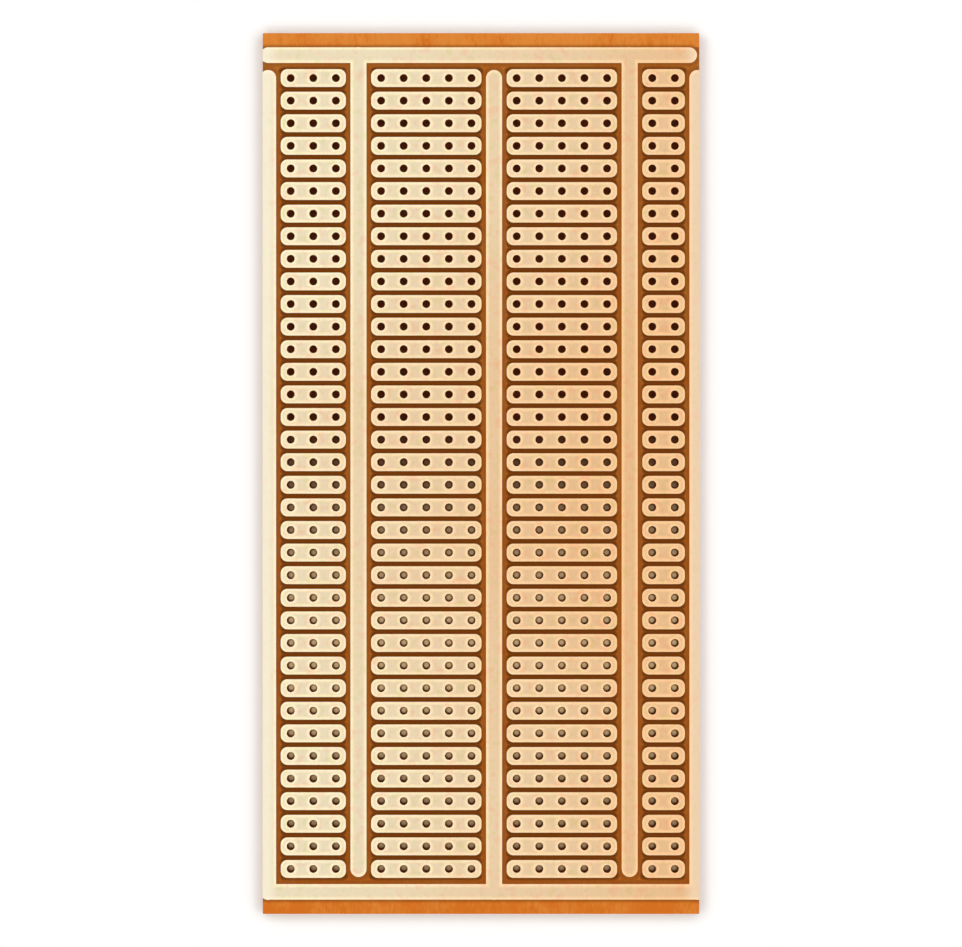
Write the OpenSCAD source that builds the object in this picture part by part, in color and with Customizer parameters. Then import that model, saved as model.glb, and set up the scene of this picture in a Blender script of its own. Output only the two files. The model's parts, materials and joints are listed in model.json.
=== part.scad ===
// Prototype board: one sheet of phenolic-paper laminate with etched copper foil on one face.
// Every row has pads that join a few lead holes each. Two comb-shaped conductors reach in from
// the ends of the board, and their fingers run between the groups of pads.
// The origin is the centre of the underside: +X across the board, +Y along it, +Z out of the foil.

/* [Hole grid] */
// Distance between neighbouring lead holes, across and along the board
pitch = 2.54; // [2.4:0.01:3]
// Rows of pads along the board
rows = 36; // [4:1:48]
// Lead holes that each pad of a row joins, from left to right
pad_holes = [3, 5, 5, 2]; // [1:1:8]
// Diameter of a lead hole
hole_d = 0.9; // [0.6:0.05:1.3]

/* [Pads] */
// How far a pad reaches past the centre of its outer hole
pad_reach = 1.12; // [0.9:0.01:1.3]
// Bare gap between the pads of neighbouring rows
pad_gap = 0.54; // [0.3:0.01:0.7]
// Radius of a pad's corners
pad_corner_r = 0.75; // [0.2:0.05:0.8]

/* [Combs] */
// Bare gap between a finger and the ends of the pads beside it
finger_gap = 0.52; // [0.3:0.01:0.7]
// Width of the bar that joins the fingers of a comb
bar_w = 1.75; // [1:0.05:3]
// Bare gap between a bar and the row of pads beside it
bar_gap = 0.7; // [0.3:0.05:2]
// Bare laminate between the right end of the upper comb's bar and the right edge of the board
upper_bar_margin = 0.25; // [0.1:0.05:2]

/* [Laminate] */
// Bare strip outside each bar, at both ends of the board
end_strip = 1.6; // [0.5:0.1:6]
// Left edge of the board, measured from the centre line of the finger beside it
left_margin = 0.6; // [0.2:0.05:3]
// Right edge of the board, measured from the centre line of the finger beside it
right_margin = 0.2; // [0.1:0.05:3]
// Thickness of the laminate
laminate_t = 1.5; // [0.8:0.1:2.4]
// Thickness of the copper foil
foil_t = 0.035; // [0.018:0.001:0.105]

/* [Hidden] */
$fn = 48;

// Columns of the grid are counted from the first hole. A free column on each side of every
// group of pads holds a finger.
groups = len(pad_holes);
function holes_before(group) = group == 0 ? 0 : holes_before(group - 1) + pad_holes[group - 1];
function first_column(group) = holes_before(group) + group;
function finger_column(finger) = first_column(finger) - 1;

pad_w = pitch - pad_gap;
finger_w = 2 * (pitch - pad_reach - finger_gap);
board_w = left_margin + (finger_column(groups) - finger_column(0)) * pitch + right_margin;
board_l = (rows - 1) * pitch + pad_w + 2 * (bar_gap + bar_w + end_strip);

function column_x(column) = left_margin - board_w / 2 + (column - finger_column(0)) * pitch;
function row_y(row) = ((rows + 1) / 2 - row) * pitch;

upper_bar_y = board_l / 2 - end_strip - bar_w / 2;
lower_bar_y = -upper_bar_y;
upper_bar_end_x = board_w / 2 - upper_bar_margin - bar_w / 2;

function row_name(row) = str("pads_row_", row < 10 ? "0" : "", row);

module board_outline() square([board_w, board_l], center = true);

// Lead holes of one group of pads in one row
module hole_line(group, row) {
    for (column = [0:pad_holes[group] - 1])
        translate([column_x(first_column(group) + column), row_y(row)]) circle(d = hole_d);
}

// Rectangle with round corners about the origin
module round_rectangle(length, width, corner_r) {
    square([length - 2 * corner_r, width], center = true);
    square([length, width - 2 * corner_r], center = true);
    for (x = [-1, 1], y = [-1, 1])
        translate([x * (length / 2 - corner_r), y * (width / 2 - corner_r)]) circle(r = corner_r);
}

// Straight conductor with round ends
module track(start, angle, length, width) {
    translate(start) rotate(angle) {
        translate([0, -width / 2]) square([length, width]);
        circle(d = width);
        translate([length, 0]) circle(d = width);
    }
}

// Outline of a comb: a bar, and fingers that each end on the centre line of the furthest row
module comb_outline(bar_y, bar_end_x, fingers, tip_y) {
    bar_start_x = column_x(finger_column(0));
    intersection() {
        union() {
            track([bar_start_x, bar_y], 0, bar_end_x - bar_start_x, bar_w);
            for (finger = fingers)
                track([column_x(finger_column(finger)), bar_y], tip_y > bar_y ? 90 : -90,
                      abs(tip_y - bar_y), finger_w);
        }
        board_outline();
    }
}

// Lays an outline on the laminate as a sheet of foil
module foil(shade) color(shade) translate([0, 0, laminate_t]) linear_extrude(foil_t) children();

module laminate() {
    color("peru") linear_extrude(laminate_t) difference() {
        board_outline();
        for (group = [0:groups - 1], row = [1:rows]) hole_line(group, row);
    }
}

// Bar along the upper end, with every second finger from the second on
module upper_comb() {
    foil("wheat") comb_outline(upper_bar_y, upper_bar_end_x, [1:2:groups], row_y(rows));
}

// Bar along the lower end, with every second finger from the first on
module lower_comb() {
    foil("wheat") comb_outline(lower_bar_y, column_x(finger_column(groups)), [0:2:groups], row_y(1));
}

// The pads of one row, each a separate piece of foil
module pads_row(row) {
    foil("burlywood") for (group = [0:groups - 1]) {
        span = (pad_holes[group] - 1) * pitch;
        middle_x = column_x(first_column(group)) + span / 2;
        difference() {
            translate([middle_x, row_y(row)])
                round_rectangle(span + 2 * pad_reach, pad_w, pad_corner_r);
            hole_line(group, row);
        }
    }
}

laminate();
upper_comb();
lower_comb();
for (row = [1:rows])
    pads_row(row);
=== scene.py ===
"""Prototype board: its finishes, and a floor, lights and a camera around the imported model."""
import json

import bpy
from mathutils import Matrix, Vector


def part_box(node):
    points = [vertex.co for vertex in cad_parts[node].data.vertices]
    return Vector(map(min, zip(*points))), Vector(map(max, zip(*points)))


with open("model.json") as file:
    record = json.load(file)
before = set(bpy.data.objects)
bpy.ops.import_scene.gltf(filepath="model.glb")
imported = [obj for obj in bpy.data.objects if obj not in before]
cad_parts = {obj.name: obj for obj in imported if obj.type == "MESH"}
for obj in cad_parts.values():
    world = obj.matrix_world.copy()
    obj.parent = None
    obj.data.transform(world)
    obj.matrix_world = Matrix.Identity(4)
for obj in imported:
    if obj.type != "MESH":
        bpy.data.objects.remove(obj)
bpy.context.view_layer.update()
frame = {"nodes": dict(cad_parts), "record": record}

# Shaders work in millimetres on the row frame's own axes
MM_PER_M = 1000

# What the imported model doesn't state: the holes that each pad of a row joins, and two sizes in millimetres
PAD_HOLES = (3, 5, 5, 2)
BAR_W = 1.75
PAD_CORNER_R = 0.75

# Colours as linear red, green and blue
RESIN_PALE = (0.650, 0.218, 0.034, 1)
RESIN_DEEP = (0.580, 0.142, 0.011, 1)
# Painted shade in the etched gaps beside the foil
GAP_SHADE = (0.140, 0.033, 0.002, 1)
CUT_PAPER = (0.500, 0.215, 0.065, 1)
CUT_RESIN = (0.380, 0.135, 0.028, 1)
HOLE_WALL = (0.400, 0.105, 0.010, 1)
HALO = (0.800, 0.420, 0.160, 1)
FOIL_PALE = (0.990, 0.868, 0.590, 1)
FOIL_WARM = (0.960, 0.610, 0.310, 1)
# Painted highlight: pale foil by the board's long edges
FOIL_EDGE_HIGHLIGHT = (0.965, 0.890, 0.700, 1)
FLOOR = (0.93, 0.93, 0.92, 1)
# Painted shade: the floor under the board, warm brown where it shows through the holes
FLOOR_UNDER_SHADE = (0.80, 0.45, 0.20, 1)
LIT_FLOOR = (1.000, 0.680, 0.340, 1)
WHITE = (1, 1, 1, 1)
# Tints that multiply a colour
# Dims the foil's field, so that its rim stays pale as a painted edge highlight
FIELD_TINT = (0.850, 0.838, 0.860, 1)
PINK_TINT = (1.000, 0.855, 0.810, 1)
OLIVE_TINT = (0.920, 0.945, 0.800, 1)
STREAK_TINT = (0.950, 0.930, 0.910, 1)
SCRATCH_TINT = (0.880, 0.850, 0.820, 1)

# Patterns, as features to the millimetre
RESIN_CLOUDS = 0.35
RESIN_GRAIN = 12.0
FOIL_DRIFT = 0.07
FOIL_CLOUDS = 0.7
FOIL_SPECKS = 6.0
# Patterns with a direction, as features to the millimetre along X, Y and Z
RESIN_FIBRES = (3.0, 1.05, 3.0)
PAPER_LAYERS = (0.3, 0.3, 8.0)
PAPER_TEARS = (2.2, 2.2, 1.6)
FOIL_LINES = (14.0, 0.6, 1.0)
FOIL_SCRATCHES = (12.0, 0.3, 1.0)
# Directions of the fine scratches in the foil, in radians from the long side
SCRATCH_ANGLES = (0.6, -1.1)

# Values of a pattern at which what it shows begins and is full
RESIN_CONTRAST = (0.35, 0.65)
TORN_CONTRAST = (0.32, 0.68)
PINK_CONTRAST = (0.48, 0.74)
OLIVE_CONTRAST = (0.52, 0.26)
STREAK_CONTRAST = (0.50, 0.80)
SCRATCH_CONTRAST = (0.75, 0.82)

# Roughness where a pattern is 0 and 1, and how much less of it the underside has
RESIN_ROUGHNESS = (0.55, 0.75)
UNDER_SMOOTHER = 0.25
FOIL_ROUGHNESS = (0.46, 0.62)

# Depths of fine relief and the width of the foil's softened lip, in millimetres
RESIN_RELIEF = 0.012
SCRUB_RELIEF = 0.004
LIP_RELIEF = 0.02
LIP_W = 0.14

# In what follows, a FADE is where something begins and where it is full, in millimetres

# Laminate: the share of clouds in its tone, and how the tone changes to the millimetre along the board
CLOUD_SHARE = 0.5
TONE_ALONG = -0.0012
# A face is flat where its normal rises or falls by more than this, and a wall elsewhere
FLAT = 0.5
# Painted shade beside the foil, by the distance from it: less of it close to a comb, and a narrower band in
# the end strips
GAP_SHADE_FADE = (0.95, 0.20)
GAP_SHADE_BY_COMB = 0.70
CLEAR_OF_COMB_FADE = (0.25, 0.75)
STRIP_SQUEEZE = 1.45
STRIP_SHIFT = 0.28
# Pale ring round a hole of the underside, by the distance from its wall
HALO_FADE = (0.45, 0.0)
HALO_LEVEL = 0.55
# Cut edges: the share of the paper's layers in their look, and how much deeper than a face they are torn
LAYER_SHARE = 0.35
TORN_DEPTH = 4.0
# Walls further inside the board's outline than this are those of holes, in millimetres
EDGE_DEPTH = 0.05

# Warmth of the foil: in the middle, its change to the millimetre across and along the board, which is a
# painted sheen, paler at the left and top, what the drift adds, and what nearness to an end adds by the
# distance from the middle
MIDDLE_WARMTH = 0.54
PAINTED_SHEEN_ACROSS = 1 / 40
PAINTED_SHEEN_ALONG = -0.0015
DRIFT_WARMTH = 0.3
END_WARMTH = -0.32
END_FADE = (5, 38)
# Pale rim of the foil, a painted edge highlight, which gives way to the field by the distance from the
# outline, as specks move it
FIELD_FADE = (0.1, 0.5)
RIM_SPECKS = 0.16
# Painted highlight on the foil by the distance from a long edge: its level midway, and the change to the
# millimetre across
EDGE_HIGHLIGHT_FADE = (2.0, 0.5)
EDGE_HIGHLIGHT_LEVEL = 0.50
EDGE_HIGHLIGHT_ACROSS = -0.006

# Half width of the floor and its depth below the board, in metres
FLOOR_HALF = 3.0
FLOOR_DEPTH = 0.00005
# Floor nearer than this to the board's outline is under it, in millimetres, and it whitens away from it
UNDER_REACH = 0.001
WHITE_FADE = (0.5, 9)
# Floor seen through the lower holes, by the place along the board: it lights up, and dims toward the end
LIT_FADE = (7, -19)
DIM_FADE = (-24, -36)
LIT_LEVEL = 0.46
DIM_LEVEL = 0.26
# It is brightest under the middle of a hole, by the distance from the wall
SPOT_FADE = (-0.04, -0.32)

# Soft lamps: name, place in metres and power in watts, and the side of each in metres
LAMPS = (
    ("key_lamp", (-0.55, 0.25, 0.50), 0.90),
    ("fill_lamp", (0.60, -0.10, 0.45), 0.85),
)
LAMP_SIZE = 0.6
# Surroundings by height, where 1 is overhead: where the ring begins and is full, and where its middle does
RING_HEIGHTS = (0.62, 0.82)
MIDDLE_HEIGHTS = (0.84, 0.93)
# Brightness below the ring and in it, and the share of it that the middle has
LOW_LEVEL = 0.68
RING_LEVEL = 2.32
MIDDLE_SHARE = 0.04

# Camera: the image in pixels, lens and sensor in millimetres, and the board's share of the image's height
IMAGE_W, IMAGE_H = 962, 947
LENS = 150.0
SENSOR_W = 36.0
BOARD_SHARE = 0.93


def in_mm(point):
    return [MM_PER_M * value for value in point]


class Layout:
    """Where the holes, pads, fingers and bars lie, in millimetres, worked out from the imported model."""

    def __init__(self):
        mounts = {m["name"]: m for m in frame["record"]["mounts"]}
        first, last = (in_mm(mounts[n]["pos_m"]) for n in ("lead_hole_first", "lead_hole_last"))
        row_low, row_high = (in_mm(corner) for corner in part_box("pads_row_01"))
        lower_high = in_mm(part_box("lower_comb")[1])
        upper_high = in_mm(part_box("upper_comb")[1])
        self.low, self.high = (in_mm(corner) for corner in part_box("laminate"))
        self.hole_r = mounts["lead_hole_first"]["dims"]["r_mm"]
        self.rows = sum(name.startswith("pads_row_") for name in frame["nodes"])
        self.row_y = first[1]
        self.column_x = first[0]
        self.pitch = (first[1] - last[1]) / (self.rows - 1)
        self.pad_half_w = (row_high[1] - row_low[1]) / 2
        self.finger_half_w = lower_high[1] - first[1]
        self.bar_y = upper_high[1] - BAR_W / 2
        self.bar_end_x = upper_high[0] - BAR_W / 2
        self.foil_end_y = upper_high[1]
        self.pads = []
        self.fingers = [self.column_x - self.pitch]
        pad_reach = first[0] - row_low[0]
        column = 0
        for holes in PAD_HOLES:
            span = (holes - 1) * self.pitch
            middle = self.column_x + column * self.pitch + span / 2
            self.pads.append((middle, span / 2 + pad_reach))
            column += holes + 1
            self.fingers.append(self.column_x + (column - 1) * self.pitch)


class Graph:
    """Adds nodes to a node tree and links them."""

    def __init__(self, tree):
        self.tree = tree
        self.nodes = tree.nodes

    def put(self, socket, value):
        if isinstance(value, bpy.types.NodeSocket):
            self.tree.links.new(value, socket)
        else:
            socket.default_value = value

    def math(self, operation, *values):
        node = self.nodes.new("ShaderNodeMath")
        node.operation = operation
        for socket, value in zip(node.inputs, values):
            self.put(socket, value)
        return node.outputs[0]

    def times(self, first, *others):
        result = first
        for value in others:
            result = self.math("MULTIPLY", result, value)
        return result

    def smallest(self, first, *others):
        result = first
        for value in others:
            result = self.math("MINIMUM", result, value)
        return result

    def length(self, across, along):
        squares = (self.math("MULTIPLY", v, v) for v in (across, along))
        return self.math("SQRT", self.math("ADD", *squares))

    def mean(self, first, second, share):
        """Mean of two values that takes this share of the first and the rest of the second."""
        return self.math("ADD", self.times(first, share), self.times(second, 1 - share))

    def ramp(self, value, start, end):
        """0 up to start and 1 from end on, with a smooth change between; start may be the larger."""
        node = self.nodes.new("ShaderNodeMapRange")
        node.interpolation_type = "SMOOTHSTEP"
        self.put(node.inputs["Value"], value)
        self.put(node.inputs["From Min"], start)
        self.put(node.inputs["From Max"], end)
        return node.outputs[0]

    def span(self, value, low, high):
        """low where value is 0 and high where it is 1."""
        return self.math("MULTIPLY_ADD", value, high - low, low)

    def blend(self, factor, first, second, kind="MIX"):
        node = self.nodes.new("ShaderNodeMix")
        node.data_type = "RGBA"
        node.blend_type = kind
        sockets = {s.identifier: s for s in node.inputs}
        self.put(sockets["Factor_Float"], factor)
        self.put(sockets["A_Color"], first)
        self.put(sockets["B_Color"], second)
        return next(s for s in node.outputs if s.identifier == "Result_Color")

    def tint(self, factor, colour, by):
        return self.blend(factor, colour, by, "MULTIPLY")

    def split(self, vector):
        node = self.nodes.new("ShaderNodeSeparateXYZ")
        self.put(node.inputs[0], vector)
        return node.outputs

    def stretch(self, vector, factors):
        node = self.nodes.new("ShaderNodeVectorMath")
        node.operation = "MULTIPLY"
        self.put(node.inputs[0], vector)
        self.put(node.inputs[1], factors)
        return node.outputs[0]

    def turned(self, vector, angle):
        """The vector turned by an angle about Z."""
        node = self.nodes.new("ShaderNodeVectorRotate")
        node.rotation_type = "Z_AXIS"
        self.put(node.inputs["Vector"], vector)
        self.put(node.inputs["Angle"], angle)
        return node.outputs[0]

    def noise(self, vector, scale=1.0, detail=2.0, roughness=0.5, distortion=0.0):
        """Noise with scale features to each unit of the vector."""
        node = self.nodes.new("ShaderNodeTexNoise")
        self.put(node.inputs["Vector"], vector)
        self.put(node.inputs["Scale"], scale)
        self.put(node.inputs["Detail"], detail)
        self.put(node.inputs["Roughness"], roughness)
        self.put(node.inputs["Distortion"], distortion)
        return node.outputs[0]

    def bump(self, height, depth_mm, over=None):
        """Normal of a relief that is depth_mm deep, laid over another normal if one is given."""
        node = self.nodes.new("ShaderNodeBump")
        self.put(node.inputs["Strength"], 1.0)
        self.put(node.inputs["Distance"], depth_mm / MM_PER_M)
        self.put(node.inputs["Height"], height)
        if over is not None:
            self.put(node.inputs["Normal"], over)
        return node.outputs[0]


class Surface(Graph):
    """A material's graph, with its place on the board in millimetres."""

    def __init__(self, name):
        self.material = bpy.data.materials.new(name)
        self.material.use_nodes = True
        super().__init__(self.material.node_tree)
        self.shader = self.nodes["Principled BSDF"]
        place = self.nodes.new("ShaderNodeTexCoord").outputs["Object"]
        self.place = self.stretch(place, (MM_PER_M, MM_PER_M, MM_PER_M))
        self.x, self.y = self.split(self.place)[:2]

    def finish(self, **inputs):
        """Sets inputs of the shader, each named with _ for a space, and gives the material."""
        for name, value in inputs.items():
            self.put(self.shader.inputs[name.replace("_", " ")], value)
        return self.material


layout = Layout()


def row_offset(surface):
    """Signed distance from the centre line of the nearest row."""
    steps = surface.math("DIVIDE", surface.math("SUBTRACT", layout.row_y, surface.y), layout.pitch)
    row = surface.math("ROUND", steps)
    row = surface.math("MINIMUM", surface.math("MAXIMUM", row, 0), layout.rows - 1)
    row_y = surface.math("MULTIPLY_ADD", row, -layout.pitch, layout.row_y)
    return surface.math("SUBTRACT", surface.y, row_y)


def column_offset(surface):
    """Signed distance from the centre line of the nearest column."""
    from_first = surface.math("SUBTRACT", surface.x, layout.column_x)
    half_on = surface.math("ADD", from_first, layout.pitch / 2)
    return surface.math("SUBTRACT", from_first, surface.math("SNAP", half_on, layout.pitch))


def hole_distance(surface):
    """Distance from the wall of the nearest place for a lead hole, negative inside it."""
    to_axis = surface.length(column_offset(surface), row_offset(surface))
    return surface.math("SUBTRACT", to_axis, layout.hole_r)


def past_pad_ends(surface):
    """How far a place lies past the ends of the nearest pad, across the board; negative within it."""
    ends = []
    for middle, half_length in layout.pads:
        off = surface.math("ABSOLUTE", surface.math("SUBTRACT", surface.x, middle))
        ends.append(surface.math("SUBTRACT", off, half_length))
    return surface.smallest(*ends)


def pad_distance(surface):
    """Distance to the outline of the nearest pad, negative inside it."""
    across = surface.math("ADD", past_pad_ends(surface), PAD_CORNER_R)
    off = surface.math("ABSOLUTE", row_offset(surface))
    along = surface.math("SUBTRACT", off, layout.pad_half_w - PAD_CORNER_R)
    corner = surface.length(surface.math("MAXIMUM", across, 0), surface.math("MAXIMUM", along, 0))
    inside = surface.math("MINIMUM", surface.math("MAXIMUM", across, along), 0)
    return surface.math("SUBTRACT", surface.math("ADD", corner, inside), PAD_CORNER_R)


def finger_distance(surface, fingers, side):
    """Distance to the outline of the nearest of these fingers; side is 1 where their tips point up."""
    off = [surface.math("ABSOLUTE", surface.math("SUBTRACT", surface.x, x)) for x in fingers]
    toward_tip = surface.math("MULTIPLY", surface.y, side)
    past_tip = surface.math("SUBTRACT", toward_tip, layout.row_y)
    past_bar = surface.math("SUBTRACT", -layout.bar_y, toward_tip)
    past_end = surface.math("MAXIMUM", surface.math("MAXIMUM", past_tip, past_bar), 0)
    to_line = surface.length(surface.smallest(*off), past_end)
    return surface.math("SUBTRACT", to_line, layout.finger_half_w)


def comb_distance(surface):
    """Distance to the outline of the nearest comb, negative inside it."""
    to_bar = surface.math("SUBTRACT", surface.math("ABSOLUTE", surface.y), layout.bar_y)
    past_end = surface.math("MAXIMUM", surface.math("SUBTRACT", surface.x, layout.bar_end_x), 0)
    upper = surface.math("GREATER_THAN", surface.y, 0)
    to_bar = surface.length(to_bar, surface.math("MULTIPLY", past_end, upper))
    return surface.smallest(
        surface.math("SUBTRACT", to_bar, BAR_W / 2),
        finger_distance(surface, layout.fingers[0::2], 1),
        finger_distance(surface, layout.fingers[1::2], -1),
    )


def facing(surface):
    """Whether a place is on an upper face, on an underside or on a wall, each 0 or 1."""
    up = surface.split(surface.nodes.new("ShaderNodeNewGeometry").outputs["True Normal"])[2]
    is_top = surface.math("GREATER_THAN", up, FLAT)
    is_under = surface.math("LESS_THAN", up, -FLAT)
    is_wall = surface.math("LESS_THAN", surface.math("ABSOLUTE", up), FLAT)
    return is_top, is_under, is_wall


def resin_colour(paper, fibres):
    """Cloudy resin with fine fibres."""
    clouds = paper.noise(paper.place, RESIN_CLOUDS, detail=2)
    tone = paper.mean(clouds, fibres, CLOUD_SHARE)
    tone = paper.math("MULTIPLY_ADD", paper.y, TONE_ALONG, tone)
    return paper.blend(paper.ramp(tone, *RESIN_CONTRAST), RESIN_PALE, RESIN_DEEP)


def painted_gap_shade(paper):
    """How much painted shade darkens the upper face, by how near it is to the foil."""
    to_comb = comb_distance(paper)
    to_foil = paper.math("MINIMUM", pad_distance(paper), to_comb)
    in_strip = paper.math("GREATER_THAN", paper.math("ABSOLUTE", paper.y), layout.foil_end_y)
    away = paper.times(to_foil, paper.span(in_strip, 1.0, STRIP_SQUEEZE))
    away = paper.math("MULTIPLY_ADD", in_strip, STRIP_SHIFT, away)
    by_comb = paper.span(paper.ramp(to_comb, *CLEAR_OF_COMB_FADE), GAP_SHADE_BY_COMB, 1.0)
    return paper.times(paper.ramp(away, *GAP_SHADE_FADE), by_comb)


def halo_level(paper):
    """How much of the pale ring round a hole shows."""
    has_hole = paper.math("LESS_THAN", past_pad_ends(paper), 0)
    return paper.times(paper.ramp(hole_distance(paper), *HALO_FADE), has_hole, HALO_LEVEL)


def cut_colour(paper, torn):
    """Torn paper and resin on the board's edges, and plain walls in its holes."""
    edge = paper.blend(paper.ramp(torn, *TORN_CONTRAST), CUT_PAPER, CUT_RESIN)
    to_side = paper.math("SUBTRACT", layout.high[0], paper.math("ABSOLUTE", paper.x))
    to_end = paper.math("SUBTRACT", layout.high[1], paper.math("ABSOLUTE", paper.y))
    in_hole = paper.math("GREATER_THAN", paper.math("MINIMUM", to_side, to_end), EDGE_DEPTH)
    return paper.blend(in_hole, edge, HOLE_WALL)


def laminate_material():
    """Phenolic paper: cloudy orange resin with fine fibres, with painted shade beside the foil, and cut
    edges.
    """
    paper = Surface("phenolic_paper")
    is_top, is_under, is_wall = facing(paper)
    fibres = paper.noise(paper.stretch(paper.place, RESIN_FIBRES), detail=3, roughness=0.65, distortion=0.6)
    layers = paper.noise(paper.stretch(paper.place, PAPER_LAYERS), detail=2, roughness=0.6)
    tears = paper.noise(paper.stretch(paper.place, PAPER_TEARS), detail=4, roughness=0.75, distortion=1.0)
    torn = paper.mean(layers, tears, LAYER_SHARE)
    grain = paper.noise(paper.place, RESIN_GRAIN, detail=2)

    face = resin_colour(paper, fibres)
    # Painted shade darkens the upper face beside the foil
    face = paper.blend(paper.times(painted_gap_shade(paper), is_top), face, GAP_SHADE)
    face = paper.blend(paper.times(halo_level(paper), is_under), face, HALO)
    roughness = paper.span(grain, *RESIN_ROUGHNESS)
    relief = paper.math("ADD", fibres, paper.times(torn, is_wall, TORN_DEPTH))
    return paper.finish(
        Base_Color=paper.blend(is_wall, face, cut_colour(paper, torn)),
        Roughness=paper.math("SUBTRACT", roughness, paper.times(is_under, UNDER_SMOOTHER)),
        Specular_IOR_Level=0.04,
        Normal=paper.bump(relief, RESIN_RELIEF),
    )


def metal_colour(foil):
    """The foil's broad colour: paler at the left and top and warmer at the right and bottom as a painted
    sheen, and paler toward the ends.
    """
    drift = foil.noise(foil.place, FOIL_DRIFT, detail=1)
    near_end = foil.ramp(foil.math("ABSOLUTE", foil.y), *END_FADE)
    # Painted sheen: paler at the left and top, warmer at the right and bottom
    warmth = foil.math("MULTIPLY_ADD", foil.x, PAINTED_SHEEN_ACROSS, MIDDLE_WARMTH)
    warmth = foil.math("MULTIPLY_ADD", drift, DRIFT_WARMTH, warmth)
    warmth = foil.math("MULTIPLY_ADD", near_end, END_WARMTH, warmth)
    warmth = foil.math("MULTIPLY_ADD", foil.y, PAINTED_SHEEN_ALONG, warmth)
    return foil.blend(warmth, FOIL_PALE, FOIL_WARM)


def field_level(foil, inside, specks):
    """0 on the pale rim of the foil, a painted edge highlight, and 1 on its field."""
    uneven = foil.math("SUBTRACT", inside, RIM_SPECKS / 2)
    uneven = foil.math("MULTIPLY_ADD", specks, RIM_SPECKS, uneven)
    return foil.ramp(uneven, *FIELD_FADE)


def edge_highlight_level(foil):
    """How much painted highlight pales the foil by the board's long edges, more at the left."""
    start, end = (layout.high[0] - from_edge for from_edge in EDGE_HIGHLIGHT_FADE)
    near_edge = foil.ramp(foil.math("ABSOLUTE", foil.x), start, end)
    return foil.times(near_edge, foil.math("MULTIPLY_ADD", foil.x, EDGE_HIGHLIGHT_ACROSS, EDGE_HIGHLIGHT_LEVEL))


def foil_material(name, outline, with_holes):
    """Scrubbed copper under clear lacquer: cloudy and streaky, with painted highlights: paler along its
    outline and holes, by the board's long edges and toward the left.
    """
    foil = Surface(name)
    clouds = foil.noise(foil.place, FOIL_CLOUDS, detail=3, roughness=0.6)
    lines = foil.noise(foil.stretch(foil.place, FOIL_LINES), detail=2, roughness=0.7)
    specks = foil.noise(foil.place, FOIL_SPECKS, detail=3, roughness=0.7)
    scratches = [foil.noise(foil.stretch(foil.turned(foil.place, angle), FOIL_SCRATCHES), detail=1)
                 for angle in SCRATCH_ANGLES]
    scratched = foil.ramp(foil.math("MAXIMUM", *scratches), *SCRATCH_CONTRAST)
    inside = foil.times(outline(foil), -1)
    if with_holes:
        inside = foil.math("MINIMUM", inside, hole_distance(foil))

    colour = metal_colour(foil)
    colour = foil.tint(foil.ramp(clouds, *PINK_CONTRAST), colour, PINK_TINT)
    colour = foil.tint(foil.ramp(clouds, *OLIVE_CONTRAST), colour, OLIVE_TINT)
    colour = foil.tint(foil.ramp(lines, *STREAK_CONTRAST), colour, STREAK_TINT)
    colour = foil.tint(scratched, colour, SCRATCH_TINT)
    # Painted edge highlight: the field is dimmed and the rim by the outline and holes stays pale
    colour = foil.tint(field_level(foil, inside, specks), colour, FIELD_TINT)
    # Painted highlight by the long edges, stronger at the left
    colour = foil.blend(edge_highlight_level(foil), colour, FOIL_EDGE_HIGHLIGHT)

    lip = foil.bump(foil.ramp(inside, 0.0, LIP_W), LIP_RELIEF)
    scrubbed = foil.math("SUBTRACT", foil.math("ADD", lines, specks), scratched)
    return foil.finish(
        Base_Color=colour,
        Metallic=0.55,
        Roughness=foil.span(specks, *FOIL_ROUGHNESS),
        Normal=foil.bump(scrubbed, SCRUB_RELIEF, over=lip),
        Coat_Weight=0.3,
        Coat_Roughness=0.25,
    )


def dress(nodes, material):
    for node in nodes:
        node.data.materials.clear()
        node.data.materials.append(material)


def dress_board():
    nodes = frame["nodes"]
    pads = [node for name, node in nodes.items() if name.startswith("pads_row_")]
    dress([nodes["laminate"]], laminate_material())
    dress([nodes["upper_comb"], nodes["lower_comb"]], foil_material("comb_foil", comb_distance, False))
    dress(pads, foil_material("pad_foil", pad_distance, True))


def lights_the_view(graph):
    """1 for rays that show the background: those of the camera, of gloss and through glass."""
    path = graph.nodes.new("ShaderNodeLightPath")
    seen = graph.math("MAXIMUM", path.outputs["Is Camera Ray"], path.outputs["Is Glossy Ray"])
    return graph.math("MAXIMUM", seen, path.outputs["Is Transmission Ray"])


def lit_through_holes(ground):
    """How lit the floor looks through the holes, which look paler in the lower half of the board."""
    level = ground.span(ground.ramp(ground.y, *DIM_FADE), LIT_LEVEL, DIM_LEVEL)
    spot = ground.ramp(hole_distance(ground), *SPOT_FADE)
    return ground.times(ground.ramp(ground.y, *LIT_FADE), level, spot)


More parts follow.
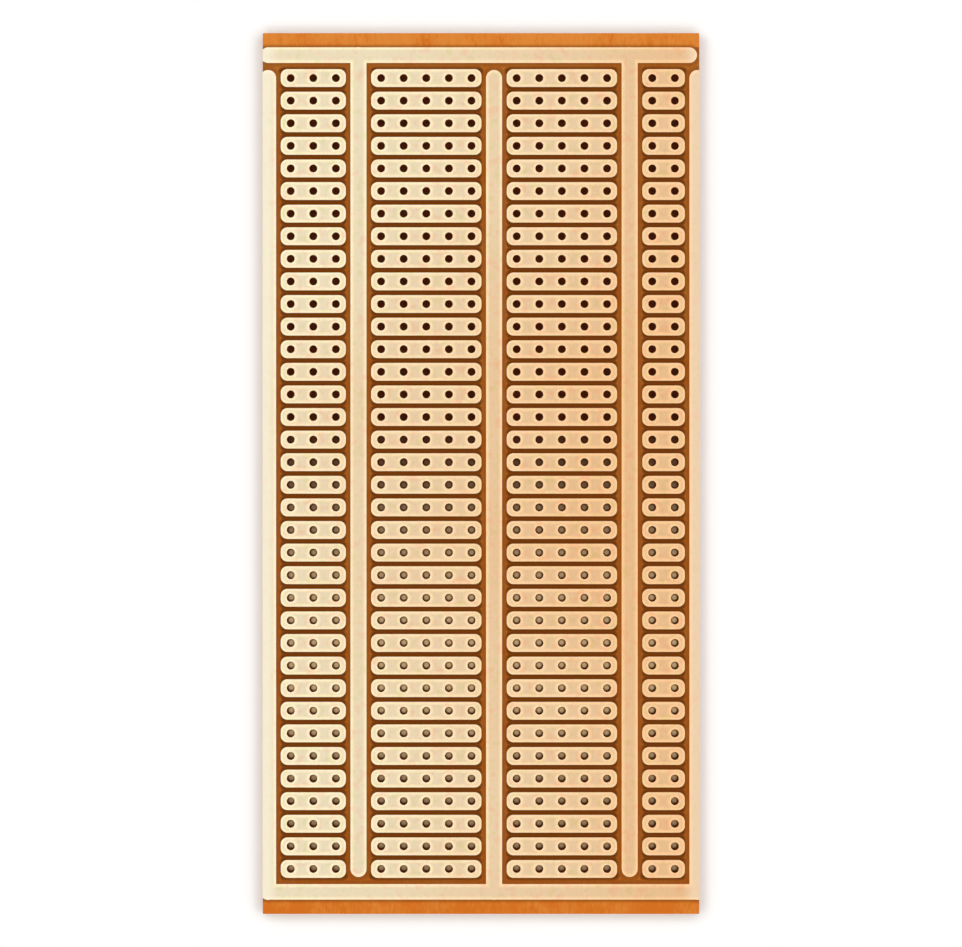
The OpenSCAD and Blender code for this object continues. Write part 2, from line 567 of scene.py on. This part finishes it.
def floor_material():
    """Plain and pale, turning white away from the board so that its soft shadow stays; under the board it is
    painted a warm shade, with a painted glow that shows through the lower holes.
    """
    ground = Surface("pale_floor")
    past_side = ground.math("SUBTRACT", ground.math("ABSOLUTE", ground.x), layout.high[0])
    past_end = ground.math("SUBTRACT", ground.math("ABSOLUTE", ground.y), layout.high[1])
    off_board = ground.length(ground.math("MAXIMUM", past_side, 0), ground.math("MAXIMUM", past_end, 0))
    under = ground.math("LESS_THAN", off_board, UNDER_REACH)
    lit = ground.times(lit_through_holes(ground), under)
    glow = ground.math("MAXIMUM", ground.ramp(off_board, *WHITE_FADE), lit)
    light = ground.nodes.new("ShaderNodeEmission")
    ground.put(light.inputs["Color"], ground.blend(under, WHITE, LIT_FLOOR))
    mix = ground.nodes.new("ShaderNodeMixShader")
    ground.put(mix.inputs[0], ground.times(glow, lights_the_view(ground)))
    ground.put(mix.inputs[1], ground.shader.outputs[0])
    ground.put(mix.inputs[2], light.outputs[0])
    ground.put(ground.nodes["Material Output"].inputs[0], mix.outputs[0])
    # Under the board the floor's colour is a painted warm shade
    return ground.finish(Base_Color=ground.blend(under, FLOOR, FLOOR_UNDER_SHADE), Roughness=0.9)


def make_floor():
    signs = ((-1, -1), (1, -1), (1, 1), (-1, 1))
    corners = [(x * FLOOR_HALF, y * FLOOR_HALF, -FLOOR_DEPTH) for x, y in signs]
    mesh = bpy.data.meshes.new("floor")
    mesh.from_pydata(corners, [], [(0, 1, 2, 3)])
    mesh.materials.append(floor_material())
    floor = bpy.data.objects.new("floor", mesh)
    bpy.context.scene.collection.objects.link(floor)


def make_lamp(name, place, power):
    """A square soft lamp that faces the board."""
    data = bpy.data.lights.new(name, "AREA")
    data.size = LAMP_SIZE
    data.energy = power
    lamp = bpy.data.objects.new(name, data)
    lamp.location = place
    lamp.rotation_euler = lamp.location.to_track_quat("Z", "Y").to_euler()
    bpy.context.scene.collection.objects.link(lamp)


def make_world():
    """Pale surroundings, brightest in a ring overhead, dim inside the ring, and white to the view."""
    world = bpy.data.worlds.new("studio")
    world.use_nodes = True
    graph = Graph(world.node_tree)
    height = graph.split(graph.nodes.new("ShaderNodeTexCoord").outputs["Generated"])[2]
    ring = graph.span(graph.ramp(height, *RING_HEIGHTS), LOW_LEVEL, RING_LEVEL)
    middle = graph.span(graph.ramp(height, *MIDDLE_HEIGHTS), 1.0, MIDDLE_SHARE)
    camera = graph.nodes.new("ShaderNodeLightPath").outputs["Is Camera Ray"]
    background = graph.nodes["Background"]
    graph.put(background.inputs["Color"], WHITE)
    graph.put(background.inputs["Strength"], graph.math("MAXIMUM", graph.times(ring, middle), camera))
    bpy.context.scene.world = world


def make_lights():
    for name, place, power in LAMPS:
        make_lamp(name, place, power)
    make_world()


def make_camera():
    """Looks straight down, as in the photograph, with the board upright and filling most of the frame."""
    view_h = (layout.high[1] - layout.low[1]) / MM_PER_M / BOARD_SHARE
    view_w = view_h * IMAGE_W / IMAGE_H
    data = bpy.data.cameras.new("camera")
    data.lens = LENS
    data.sensor_width = SENSOR_W
    camera = bpy.data.objects.new("camera", data)
    camera.location = (0, 0, layout.high[2] / MM_PER_M + view_w * LENS / SENSOR_W)
    bpy.context.scene.collection.objects.link(camera)
    bpy.context.scene.camera = camera


dress_board()
make_floor()
make_lights()
make_camera()
bpy.context.scene.view_settings.view_transform = "Standard"
